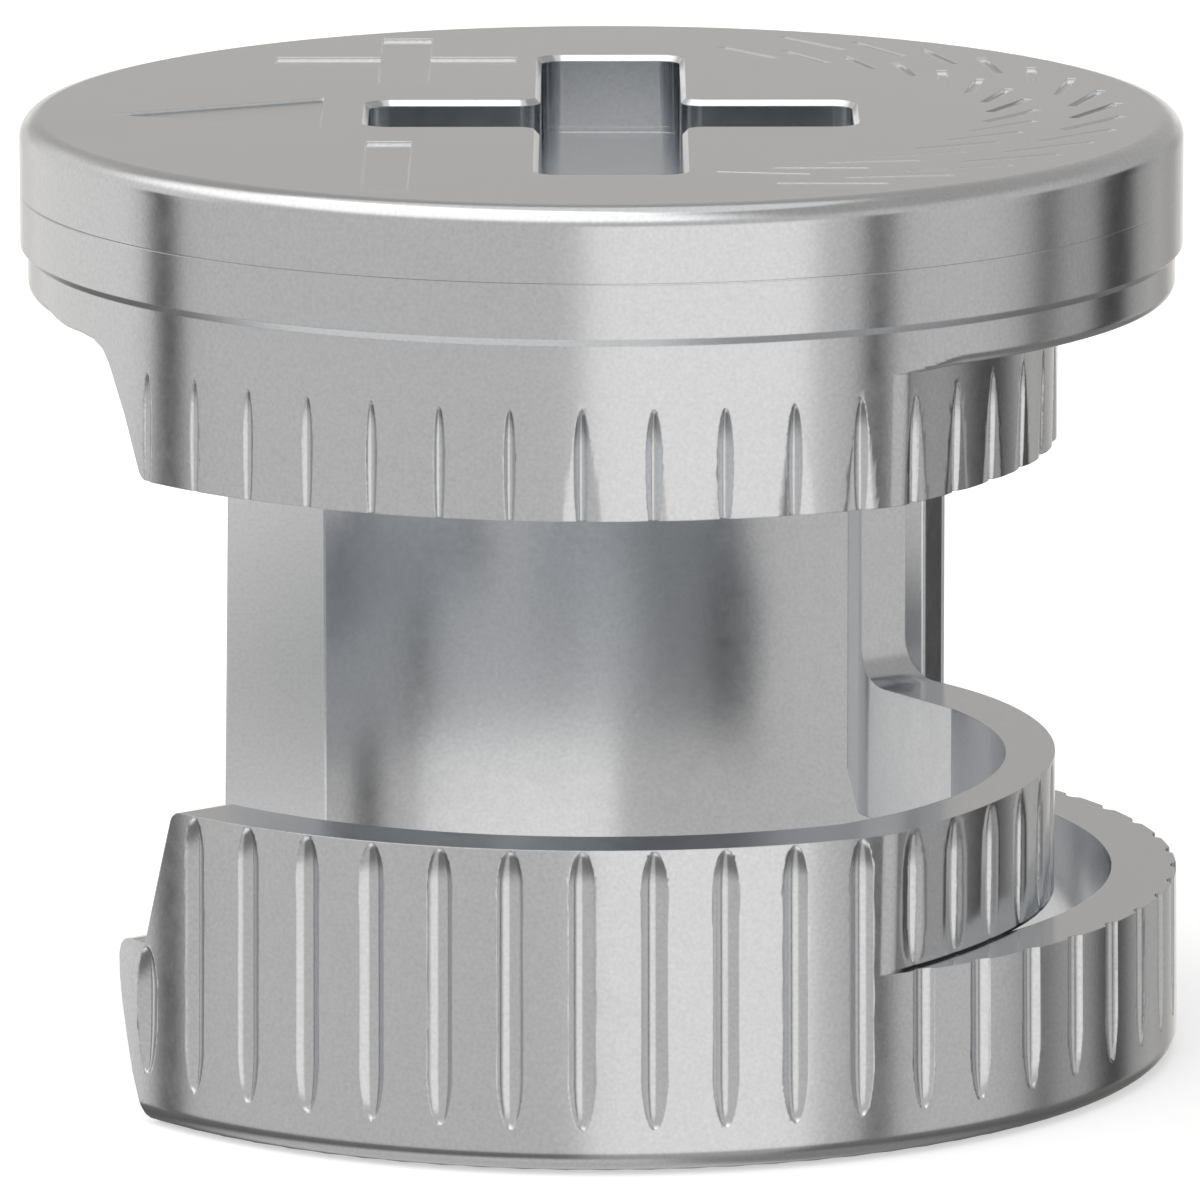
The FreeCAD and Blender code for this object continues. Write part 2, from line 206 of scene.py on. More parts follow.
@dataclass(frozen=True)
class PaintedShadeStripe:
    """Painted shade along the foot of an arc of the cam wall, in millimetres.

    Only the colour is darkened, as in the photograph; the mesh has no crevice there.
    """

    centre: tuple[float, float]
    radius: float
    start: float
    end: float
    level: float = 2.365
    half_height: float = 0.03
    core_share: float = 0.3
    half_width: float = 0.05
    width_fill: float = 0.35
    soft_end: float = 2.0
    darkest: float = 0.96

    def shadow(self, x: Signal, y: Signal, z: Signal) -> Signal:
        """Darkness from 0 to 1: near the arc, near the level, between its ends.

        Args:
            x: sideways coordinate.
            y: coordinate away from the front.
            z: height.

        Returns:
            The darkness.
        """
        right = x - self.centre[0] * MM
        back = y - self.centre[1] * MM
        away = right.maths("POWER", right * right + back * back, 0.5)
        near = (away - self.radius * MM).size().ramp(self.half_width * MM, 0.0)
        half = self.half_height * MM
        low = (z - self.level * MM).size().ramp(half, half * self.core_share)
        middle, reach = (self.start + self.end) / 2, (self.end - self.start) / 2
        side = right.azimuth(-1.0 * back).turned(middle)
        along = side.size().ramp(reach, reach - self.soft_end)
        return near.ramp(0.0, self.width_fill) * low * along * self.darkest


@dataclass(frozen=True)
class CastZinc:
    """Satin zinc casting: soft blurred reflections and a fine grain.

    Tint, roughness and grain were set against the photograph. The parting
    line is drawn by the bump, and painted shade at the foot by the colour, not the mesh.
    """

    name: str = "satin_cast_zinc"
    tint: tuple[float, float, float] = (0.644, 0.667, 0.699)
    roughness: float = 0.17
    roughness_swing: float = 0.07
    edge_round: float = 0.019 * MM
    grain_height: float = 0.00027 * MM
    fine_share: float = 0.8
    middle_share: float = 0.4
    mottle: float = 0.2
    # Painted shade: how much darker the bottom of the foot is made, where the floor's shade
    # falls.
    foot_painted_shade: float = 0.45
    painted_shade_heights: tuple[float, float] = (0.32 * MM, 0.12 * MM)
    parting: float = 11.29 * MM
    parting_half: tuple[float, float] = (0.014 * MM, 0.004 * MM)
    parting_depth: float = 50.0
    parting_side: float = -100.0
    parting_reach: tuple[float, float] = (60.0, 25.0)
    parting_rest: float = 0.1
    # Painted shade stripes along the foot of the cam wall.
    painted_foot_shades: tuple[PaintedShadeStripe, ...] = ()

    def material(self) -> bpy.types.Material:
        """Build the node material.

        Returns:
            The material, with the grain in its shade, its roughness and its
            surface normal, with the parting line, and with painted shade at the foot
            and along the cam wall's foot.
        """
        made = bpy.data.materials.new(self.name)
        graph = NodeGraph(made)
        place, (x, y, z) = graph.place()
        fine, middle, broad = (self._noise(graph, place, grain) for grain in Grain)
        deep_side = x.azimuth(-1.0 * y).turned(self.parting_side).size()
        line = (z - self.parting).size().ramp(*self.parting_half)
        line = line * deep_side.ramp(*self.parting_reach).between(self.parting_rest, 1.0)
        height = fine * self.fine_share + middle * self.middle_share - line * self.parting_depth
        rounded = graph.node("ShaderNodeBevel", {"samples": 3}, {"Radius": self.edge_round})
        bump = graph.node("ShaderNodeBump", None, {
            "Distance": self.grain_height,
            "Height": height,
            "Normal": graph.signal(rounded, "Normal"),
        })
        swing = (middle - 0.5 + (broad - 0.5)) * self.roughness_swing
        shade = (fine - 0.5) * self.mottle + 1.0
        # Painted shade: darker towards the bottom of the foot.
        shade = shade * (1.0 - z.ramp(*self.painted_shade_heights) * self.foot_painted_shade)
        # Painted shade along the foot of the cam wall.
        for shade_stripe in self.painted_foot_shades:
            shade = shade * (1.0 - shade_stripe.shadow(x, y, z))
        colour = graph.node("ShaderNodeVectorMath", {"operation": "SCALE"},
                            {0: self.tint, "Scale": shade})
        shine = graph.node("ShaderNodeBsdfPrincipled", None, {
            "Metallic": 1.0,
            "Base Color": graph.signal(colour, "Vector"),
            "Roughness": swing + self.roughness,
            "Normal": graph.signal(bump, "Normal"),
        })
        graph.node("ShaderNodeOutputMaterial", None,
                   {"Surface": graph.signal(shine, "BSDF")})
        return made

    @staticmethod
    def _noise(graph: NodeGraph, place: Signal, grain: Grain) -> Signal:
        """One layer of grain.

        Args:
            graph: the tree that it is added to.
            place: the piece's own coordinates.
            grain: the size of the marks.

        Returns:
            The grain's height, from 0 to 1.
        """
        waves, detail = grain.value
        node = graph.node("ShaderNodeTexNoise", None,
                          {"Vector": place, "Scale": waves, "Detail": detail})
        return graph.signal(node, "Fac")


@dataclass(frozen=True)
class Softbox:
    """A bright panel or a dark gap that stands round the object.

    Angles in degrees, from the front towards the right; level 1 is white. The
    low level is what it gives to the dark zone below it.
    """

    centre: float
    half_width: float
    edge: float
    level: float
    low_level: float = 0.0


@dataclass
class Studio:
    """Camera, floor and the soft light round the object.

    Lengths of the camera in millimetres, of the floor and the lamp in metres.
    Sides are in degrees from the front towards the right. Heights of the light's
    zones are the upward part of a direction, first where a zone begins to show.
    Panels, zones and levels were set by trial until the reflections looked like the
    photograph's; how it was really lit isn't known.
    """

    focal_length: float = 378.75
    sensor: float = 36.0
    camera_at: tuple[float, float, float] = (0.005, -160.78, 38.09)
    pitch: float = 11.347
    roll: float = 0.053
    clip_start: float = 0.005
    floor_reach: float = 3.0
    floor_drop: float = 0.00002
    floor_glow: float = 0.46
    floor_paper: tuple[float, float, float, float] = (0.78, 0.8, 0.826, 1.0)
    lamp_size: float = 0.30
    lamp_power: float = 0.10
    lamp_at: tuple[float, float, float] = (-0.02, 0.03, 0.30)
    lamp_lean: tuple[float, float] = (-6.0, -4.0)
    wall_level: float = 0.64
    brow_level: float = 0.47
    front_brow_level: float = 0.62
    left_brow_level: float = 0.8
    back_sides: tuple[float, float] = (80.0, 140.0)
    left_brow_side: float = -118.0
    left_brow_reach: tuple[float, float] = (50.0, 25.0)
    brow_heights: tuple[float, float] = (0.05, 0.14)
    above_level: float = 0.42
    key_level: float = 1.5
    key_side: float = -50.0
    key_reach: tuple[float, float] = (97.0, 60.0)
    above_heights: tuple[float, float] = (0.35, 0.65)
    below_level: float = 0.22
    below_heights: tuple[float, float] = (-0.25, -0.4)
    left_floor_level: float = 1.05
    right_floor_level: float = 0.5
    right_floor_from: tuple[float, float] = (0.08, 0.28)
    floor_heights: tuple[float, float] = (-0.65, -0.85)
    warmth: tuple[float, float, float] = (1.036, 1.0, 0.954)
    panels: tuple[Softbox, ...] = (
        Softbox(-129.0, 27.0, 12.0, 0.83),
        Softbox(-160.0, 5.0, 5.0, 0.72),
        Softbox(-96.0, 4.0, 4.0, 0.06),
        Softbox(19.5, 23.0, 4.0, 1.03, 0.55),
        Softbox(56.0, 3.2, 4.0, 0.08),
        Softbox(112.0, 22.0, 24.0, 0.42),
        Softbox(134.0, 25.0, 6.0, 0.42),
        Softbox(98.0, 3.5, 7.0, 0.16),
        Softbox(123.0, 7.0, 8.0, 0.06),
        Softbox(143.0, 4.0, 6.0, 0.5),
        Softbox(180.0, 13.0, 5.0, 0.95),
    )

    def build(self) -> None:
        """Make the camera, the world, the lamp and the floor."""
        self._camera()
        self._world()
        self._lamp()
        self._floor()
        LOG.info("studio: %d panels", len(self.panels))

    def _camera(self) -> None:
        """Place the camera as fitted to the edges seen in the photograph."""
        data = bpy.data.cameras.new("camera")
        data.lens = self.focal_length
        data.sensor_width = self.sensor
        data.clip_start = self.clip_start
        camera = bpy.data.objects.new("camera", data)
        camera.location = [part * MM for part in self.camera_at]
        camera.rotation_euler = Euler(
            (math.radians(90.0 - self.pitch), math.radians(self.roll), 0.0)
        )
        bpy.context.scene.collection.objects.link(camera)
        bpy.context.scene.camera = camera

    def _world(self) -> None:
        """Light from all round: grey studio walls with softboxes and gaps.

        The level at a direction is the wall level, replaced inside each panel by
        the panel's own level with a smooth edge. Plain levels follow in the zones
        above the horizon, overhead, below it and where the floor lies. What the
        camera itself sees is white.
        """
        world = bpy.data.worlds.new("studio")
        bpy.context.scene.world = world
        graph = NodeGraph(world)
        _, (east, north, up) = graph.place("Generated")
        side = east.azimuth(-1.0 * north)
        level, below = self.wall_level, self.below_level
        for panel in self.panels:
            outer = panel.half_width + panel.edge / 2.0
            inner = panel.half_width - panel.edge / 2.0
            inside = side.turned(panel.centre).size().ramp(outer, inner)
            level = inside.between(level, panel.level)
            if panel.low_level:
                below = inside.between(below, panel.low_level)
        back = side.size().ramp(*self.back_sides)
        brow = back.between(self.front_brow_level, self.brow_level)
        left = side.turned(self.left_brow_side).size().ramp(*self.left_brow_reach)
        brow = left.between(brow, self.left_brow_level)
        key = side.turned(self.key_side).size().ramp(*self.key_reach)
        above = key.between(self.above_level, self.key_level)
        right = east.ramp(*self.right_floor_from)
        floor = right.between(self.left_floor_level, self.right_floor_level)
        for zone, heights in ((brow, self.brow_heights), (above, self.above_heights),
                              (below, self.below_heights), (floor, self.floor_heights)):
            level = up.ramp(*heights).between(level, zone)
        path = graph.node("ShaderNodeLightPath")
        seen = graph.signal(path, "Is Camera Ray")
        through = graph.signal(path, "Is Transmission Ray")
        plain = seen.maths("MAXIMUM", seen, through)
        colour = graph.node("ShaderNodeVectorMath", {"operation": "MULTIPLY_ADD"},
                            {0: self.warmth, 1: level * (1.0 - plain), 2: plain})
        light = graph.node("ShaderNodeBackground", None,
                           {"Color": graph.signal(colour, "Vector")})
        graph.node("ShaderNodeOutputWorld", None,
                   {"Surface": graph.signal(light, "Background")})

    def _lamp(self) -> None:
        """Hang one soft lamp over the object; it draws the shadow on the floor."""
        data = bpy.data.lights.new("overhead", "AREA")
        data.shape = "DISK"
        data.size = self.lamp_size
        data.energy = self.lamp_power
        lamp = bpy.data.objects.new("overhead", data)
        lamp.location = self.lamp_at
        lamp.rotation_euler = Euler((*np.radians(self.lamp_lean), 0.0))
        bpy.context.scene.collection.objects.link(lamp)

    def _floor(self) -> None:
        """Lay the pale floor. It is white to the camera apart from the shadow."""
        mesh = bpy.data.meshes.new("floor")
        corners = np.array([[-1, -1], [1, -1], [1, 1], [-1, 1]]) * self.floor_reach
        points = np.column_stack([corners, np.full(4, -self.floor_drop)])
        mesh.from_pydata(points.tolist(), [], [(0, 1, 2, 3)])
        floor = bpy.data.objects.new("floor", mesh)
        bpy.context.scene.collection.objects.link(floor)
        made = bpy.data.materials.new("pale_floor")
        graph = NodeGraph(made)
        seen = graph.signal(graph.node("ShaderNodeLightPath"), "Is Camera Ray")
        matt = graph.node("ShaderNodeBsdfDiffuse", None, {"Color": self.floor_paper})
        glow = graph.node("ShaderNodeEmission", None, {"Strength": seen * self.floor_glow})
        both = graph.node("ShaderNodeAddShader", None, {
            0: graph.signal(matt, "BSDF"), 1: graph.signal(glow, "Emission")})
        graph.node("ShaderNodeOutputMaterial", None, {"Surface": graph.signal(both, 0)})
        mesh.materials.append(made)
        floor.visible_glossy = False


@dataclass(frozen=True)
class Spans:
    """Longest width and height, in millimetres, of a mesh span on each form."""

    wall: tuple[float, float] = (0.4, 1.8)
    dish: tuple[float, float] = (0.1, 0.5)
    groove: tuple[float, float] = (0.055, 0.8)
    groove_share: float = 0.45
    groove_margin: float = 0.02
    end_height: float = 0.11
    round_height: float = 0.06


SPANS = Spans()
TINY = 1e-5


@dataclass(frozen=True)
class GrooveRow:
    """Equal upright grooves, evenly spaced along a round wall, in millimetres.

    Azimuths in degrees about the wall's own axis, from the front to the right.
    """

    radius: float
    first: float
    pitch: float
    count: int
    low: float
    high: float
    half: float = 0.165
    deepest: float = 0.085
    end_low: float = 0.7
    end_high: float = 0.3
    dish_low: float = 0.0
    dish_high: float = 0.0
    dish_depth: float = 0.0
    dish_from: float = 0.0
    dish_past: float = 0.1
    dish_before: float = 0.2
    dish_end: float = 0.6

    def across(self, azimuth: np.ndarray) -> np.ndarray:
        """Distance along the wall to the nearest groove's middle line.

        Args:
            azimuth: azimuths of the points.

        Returns:
            The distance, positive on the side of the higher azimuth.
        """
        middle = self.first + self.pitch * (self.count - 1) / 2
        turn = (azimuth - middle + 180.0) % 360.0 - 180.0 + middle - self.first
        nearest = np.clip(np.round(turn / self.pitch), 0, self.count - 1)
        return np.radians(turn - nearest * self.pitch) * self.radius

    @staticmethod
    def taper(above: np.ndarray, length: float) -> np.ndarray:
        """Quarter ellipse from 0 at an end to 1 at a length above it."""
        left = 1.0 - np.clip(above / length, 0, 1)
        return np.sqrt(1.0 - left * left)

    def fullness(self, height: np.ndarray) -> np.ndarray:
        """Share of the full width that the groove has at each height."""
        return self.taper(height - self.low, self.end_low) * self.taper(
            self.high - height, self.end_high)

    def outside(self, azimuth: np.ndarray, height: np.ndarray) -> np.ndarray:
        """Distance along the wall from the groove's border, negative inside."""
        return np.abs(self.across(azimuth)) - self.half * self.fullness(height)

    def depth(self, azimuth: np.ndarray, height: np.ndarray) -> np.ndarray:
        """Depth of the grooves at points of the wall.

        With t the distance to the middle line over the half width there, the
        groove is 1 - t^2 deep; half width and depth shrink together at both ends
        along a quarter ellipse. A wide shallow dish (1 - t^2)^2 lies round it, and
        its half width runs evenly from one end to the other.

        Args:
            azimuth: azimuths of the points.
            height: heights of the points.

        Returns:
            The depth at each point, 0 outside the grooves.
        """
        away = self.across(azimuth)
        full = self.fullness(height)
        half = np.maximum(self.half * full, TINY)
        groove = self.deepest * full * np.maximum(1 - (away / half) ** 2, 0)
        if not self.dish_depth:
            return groove
        share = np.clip((height - self.low) / (self.high - self.low), 0, 1)
        wide = self.dish_low + (self.dish_high - self.dish_low) * share
        full = self.taper(height - self.dish_from, self.dish_end)
        full *= self.taper(self.high + self.dish_past - height, self.dish_end)
        wide = np.maximum(wide * full, TINY)
        dish = np.maximum(1 - (away / wide) ** 2, 0) ** 2
        return groove + dish * full * self.dish_depth * wide / max(self.dish_low, self.dish_high)

    def steps(self, azimuth: np.ndarray, height: np.ndarray, wide: np.ndarray,
              tall: np.ndarray) -> tuple[np.ndarray, np.ndarray]:
        """Longest width and height that a span of wall near a groove may have.

        Args:
            azimuth: azimuths of the spans' middles.
            height: heights of the spans' middles.
            wide: widths of the spans along the wall.
            tall: heights of the spans.

        Returns:
            The two limits for each span, endless away from the grooves.
        """
        across = np.full(len(height), np.inf)
        along = np.full(len(height), np.inf)
        away = np.abs(self.across(azimuth)) - wide / 2
        room = tall / 2
        level = (height + room > self.low) & (height - room < self.high)
        if self.dish_depth:
            dish = (away < max(self.dish_low, self.dish_high)) & (
                height + room > self.low - self.dish_before) & (
                height - room < self.high + self.dish_past)
            across[dish], along[dish] = SPANS.dish
        inside = level & (away < self.half + SPANS.groove_margin)
        across[inside] = min(SPANS.groove[0], SPANS.groove_share * self.half)
        along[inside] = SPANS.groove[1]
        ends = inside & ((height - room < self.low + 0.5 * self.end_low) | (
            height + room > self.high - 0.5 * self.end_high))
        along[ends] = SPANS.end_height
        return across, along


@dataclass(frozen=True)
class RoundWall:
    """An upright round wall about its own axis, with rows of grooves.

    The side is 1 for a wall seen from outside and -1 for one seen from inside. The
    slack says how far a corner may lie off the wall, and steep how squarely a
    triangle has to face away from the axis, to be taken as part of it.
    """

    centre: tuple[float, float]
    radius: float
    low: float = 0.0
    high: float = 12.25
    start: float = -180.0
    end: float = 180.0
    side: int = 1
    slack: float = 0.006
    groove_slack: float = 0.115
    end_slack: float = 0.002
    steep: float = 0.985
    probe: float = 0.0005
    probe_down_from: float = 11.0
    rows: tuple[GrooveRow, ...] = ()

    def axis(self, height: np.ndarray) -> np.ndarray:
        """Place of the wall's axis at each height."""
        return np.broadcast_to(np.array(self.centre), (len(height), 2))

    def bare(self, azimuth: np.ndarray, height: np.ndarray) -> np.ndarray:
        """Distance of the wall from its axis, without grooves."""
        return np.full(len(height), self.radius)

    def solid(self, azimuth: np.ndarray, height: np.ndarray) -> np.ndarray:
        """The same distance in the solid, where small rounds are left out."""
        return self.bare(azimuth, height)

    def polar(self, points: np.ndarray) -> tuple[np.ndarray, np.ndarray]:
        """Azimuth about the axis and distance from it."""
        away = points[:, :2] - self.axis(points[:, 2])
        return np.degrees(np.arctan2(away[:, 0], -away[:, 1])), np.hypot(*away.T)

    def reach(self, azimuth: np.ndarray, height: np.ndarray) -> np.ndarray:
        """Distance of the grooved wall from its axis."""
        depth = sum((row.depth(azimuth, height) for row in self.rows), np.zeros(len(height)))
        return self.bare(azimuth, height) - depth * self.side

    def holds(self, corners: np.ndarray, normals: np.ndarray) -> np.ndarray:
        """Which triangles lie on the wall or in its grooves.

        Args:
            corners: corner points, shape (n, 3, 3).
            normals: one normal for each triangle.

        Returns:
            True for the triangles of this wall.
        """
        flat = corners.reshape(-1, 3)
        azimuth, distance = self.polar(flat)
        gap = (distance - self.solid(azimuth, flat[:, 2])).reshape(-1, 3)
        deep = self.groove_slack if self.rows else self.slack
        middle = corners.mean(axis=1)
        about, _ = self.polar(middle)
        turn = np.radians(about)
        facing = (normals[:, 0] * np.sin(turn) - normals[:, 1] * np.cos(turn)) * self.side
        return (
            (gap > -deep).all(axis=1) & (gap < self.slack).all(axis=1)
            & (facing > self.steep)
            & (corners[:, :, 2] > self.low - self.end_slack).all(axis=1)
            & (corners[:, :, 2] < self.high + self.end_slack).all(axis=1)
            & (about > self.start) & (about < self.end)
        )

    def steps(self, azimuth: np.ndarray, height: np.ndarray, wide: np.ndarray,
              tall: np.ndarray) -> tuple[np.ndarray, np.ndarray]:
        """Longest width and height that a span of the wall may have.

        Args:
            azimuth: azimuths of the spans' middles.
            height: heights of the spans' middles.
            wide: widths of the spans along the wall.
            tall: heights of the spans.

        Returns:
            The two limits for each span.
        """
        across, along = (np.full(len(height), limit) for limit in SPANS.wall)
        for row in self.rows:
            narrow, short = row.steps(azimuth, height, wide, tall)
            across = np.minimum(across, narrow)
            along = np.minimum(along, short)
        return across, along

    def too_long(self, first: np.ndarray, second: np.ndarray) -> np.ndarray:
        """Which edges of the wall must be halved.

        Args:
            first: one end of each edge.
            second: the other end.

        Returns:
            True for the edges that are longer than their place allows.
        """
        middle = (first + second) / 2
        azimuth, distance = self.polar(middle)
        turn = self.polar(second)[0] - self.polar(first)[0]
        turn = (turn + 180.0) % 360.0 - 180.0
        wide = np.radians(np.abs(turn)) * distance
        tall = np.abs(second[:, 2] - first[:, 2])
        across, along = self.steps(azimuth, middle[:, 2], wide, tall)
        return np.hypot(wide / across, tall / along) > 1.0

    def placed(self, points: np.ndarray) -> np.ndarray:
        """The points moved onto the grooved wall, straight towards its axis.

        Args:
            points: points near the wall.

        Returns:
            The points on it, at the same azimuths and heights.
        """
        azimuth, _ = self.polar(points)
        turn = np.radians(azimuth)
        reach = self.reach(azimuth, points[:, 2])
        out = np.column_stack([np.sin(turn), -np.cos(turn)]) * reach[:, None]
        return np.column_stack([self.axis(points[:, 2]) + out, points[:, 2]])

    def normals(self, points: np.ndarray) -> np.ndarray:
        """True normals of the grooved wall.

        The normal is the outward direction less the wall's slopes: the change of
        its distance along the wall and the change upwards, from small steps.

        Args:
            points: points on the wall.

        Returns:
            One normal of length 1 for each point.
        """
        azimuth, distance = self.polar(points)
        height = points[:, 2]
        rise = np.where(height > self.probe_down_from, -self.probe, self.probe)
        here = self.reach(azimuth, height)
        upward = (self.reach(azimuth, height + rise) - here) / rise
        step = np.degrees(self.probe / distance)
        along = (self.reach(azimuth + step, height) - self.reach(azimuth - step, height))
        along /= 2 * self.probe
        turn = np.radians(azimuth)
        out = np.column_stack([np.sin(turn), -np.cos(turn), -upward])
        out[:, 0] -= along * np.cos(turn)
        out[:, 1] -= along * np.sin(turn)
        return out / np.linalg.norm(out, axis=1, keepdims=True) * self.side


@dataclass(frozen=True)
class OuterWall(RoundWall):
    """The outside of the housing about its own axis, from foot to head.

    The lip is the band's lower edge. It is soft on the free sides, where no wall
    hangs below it, and its round fades out towards their ends.
    """

    slack: float = 0.007
    steep: float = 0.2
    foot_radius: float = 7.5
    foot_round: float = 0.28
    band_radius: float = 7.4
    step_bottom: float = 10.5
    step_top: float = 10.6
    head_radius: float = 7.5
    parting: float = 11.29
    rim_radius: float = 7.5
    top: float = 12.25
    top_round: float = 0.27
    solid_rim: float = 7.42
    solid_top_round: float = 0.19
    lip: float = 9.97
    lip_round: float = 0.16
    lip_slack: float = 0.01
    free_sides: tuple[tuple[float, float], ...] = ((31.0, 141.0), (-137.0, -66.5))
    fade: float = 7.0

    def line(self, height: np.ndarray, rim: float, top_round: float) -> np.ndarray:
        """Distance from the axis: straight lines between quarter rounds.

        Args:
            height: heights of the points.
            rim: radius of the head at its top.
            top_round: radius of the round there.

        Returns:
            The distance at each height.
        """
        levels = [self.foot_round, self.step_bottom, self.step_top, self.parting,
                  self.top - top_round, self.top]
        radii = [self.foot_radius, self.band_radius, self.head_radius, self.head_radius,
                 rim, rim]
        found = np.interp(height, levels, radii)
        low = np.clip(self.foot_round - height, 0, self.foot_round)
        found -= self.foot_round - np.sqrt(self.foot_round ** 2 - low ** 2)
        high = np.clip(height - self.top + top_round, 0, top_round)
        return found - top_round + np.sqrt(top_round ** 2 - high ** 2)

    def solid(self, azimuth: np.ndarray, height: np.ndarray) -> np.ndarray:
        """Distance of the wall from the axis in the solid."""
        return self.line(height, self.solid_rim, self.solid_top_round)

    def lip_size(self, azimuth: np.ndarray) -> np.ndarray:
        """Radius of the band's lower edge, fading out where a wall begins.

        Args:
            azimuth: azimuths of the points.

        Returns:
            The radius at each azimuth, 0 off the free sides.
        """
        size = np.zeros(len(azimuth))
        for start, end in self.free_sides:
            inside = np.minimum(azimuth - start, end - azimuth) / self.fade
            inside = np.clip(inside, 0, 1)
            size = np.maximum(size, inside * inside * (3 - 2 * inside))
        return size * self.lip_round

    def bare(self, azimuth: np.ndarray, height: np.ndarray) -> np.ndarray:
        """Distance of the wall from the axis: the lines less the band's soft edge.

        Args:
            azimuth: azimuths of the points.
            height: heights of the points.

        Returns:
            The distance at each point, without grooves.
        """
        line = self.line(height, self.rim_radius, self.top_round)
        size = self.lip_size(azimuth)
        under = np.clip(self.lip + size - height, 0, size)
        under = np.where(height < self.lip - self.lip_slack, 0, under)
        return line - size + np.sqrt(np.maximum(size ** 2 - under ** 2, 0))

    def steps(self, azimuth: np.ndarray, height: np.ndarray, wide: np.ndarray,
              tall: np.ndarray) -> tuple[np.ndarray, np.ndarray]:
        """Longest width and height of a span, low on the quarter rounds.

        Args:
            azimuth: azimuths of the spans' middles.
            height: heights of the spans' middles.
            wide: widths of the spans along the wall.
            tall: heights of the spans.

        Returns:
            The two limits for each span.
        """
        across, along = super().steps(azimuth, height, wide, tall)
        reach = tall / 2
        rounds = (height - reach < self.foot_round) | (
            height + reach > self.top - self.top_round)
        size = self.lip_size(azimuth)
        rounds |= (size > 0) & (height + reach > self.lip) & (
            height - reach < self.lip + size)
        along[rounds] = np.minimum(along[rounds], SPANS.round_height)
        return across, along


@dataclass(frozen=True)
class TurnWall(RoundWall):
    """The soft turn from the housing's wall into the cam wall.

    Its axis lies where the housing's radius less the turn's, about the housing,
    meets the entry arc's radius less the turn's, about the entry arc's centre.
    """

    other: tuple[float, float] = (0.0, 0.0)
    other_radius: float = 10.0
    foot_radius: float = 7.5
    draft: float = 0.1 / 10.22
    draft_from: float = 0.28

    def axis(self, height: np.ndarray) -> np.ndarray:
        """Place of the turn's axis.

        Args:
            height: heights of the points.

        Returns:
            The axis at each height.
        """
        near = self.foot_radius - self.draft * (height - self.draft_from) - self.radius
        far = self.other_radius - self.radius
        apart = math.hypot(*self.other)
        along = (near ** 2 - far ** 2 + apart ** 2) / (2 * apart)
        off = np.sqrt(np.maximum(near ** 2 - along ** 2, 0))
        ahead = np.array(self.other) / apart
        aside = np.array([-ahead[1], ahead[0]])
        return along[:, None] * ahead + off[:, None] * aside


def halved(triangles: np.ndarray, middles: np.ndarray) -> tuple[np.ndarray, np.ndarray]:
    """Divide triangles at the middles of their cut sides.

    Each triangle is turned so that its cut sides come first, and becomes two,
    three or four triangles that meet its neighbours' on every side.

    Args:
        triangles: corner numbers, shape (n, 3).
        middles: number of the point in the middle of each side, or -1.

    Returns:
        The new triangles, and for each the number of the one it came from.
    """
    cut = middles >= 0
    count = cut.sum(axis=1)
    start = np.where(count == 1, np.argmax(cut, axis=1), 0)
    start = np.where(count == 2, (np.argmin(cut, axis=1) + 1) % 3, start)
    order = (start[:, None] + np.arange(3)) % 3
    corner = np.take_along_axis(triangles, order, axis=1)
    middle = np.take_along_axis(middles, order, axis=1)
    a, b, c = corner.T
    p, q, r = middle.T
    number = np.arange(len(triangles))
    recipes = {
        0: [(a, b, c)],
        1: [(a, p, c), (p, b, c)],
        2: [(p, b, q), (a, p, q), (a, q, c)],
        3: [(a, p, r), (p, b, q), (r, q, c), (p, q, r)],
    }
    parts, owners = [], []
    for size, recipe in recipes.items():
        chosen = count == size
        for trio in recipe:
            parts.append(np.column_stack(trio)[chosen])
            owners.append(number[chosen])
    return np.vstack(parts), np.concatenate(owners)


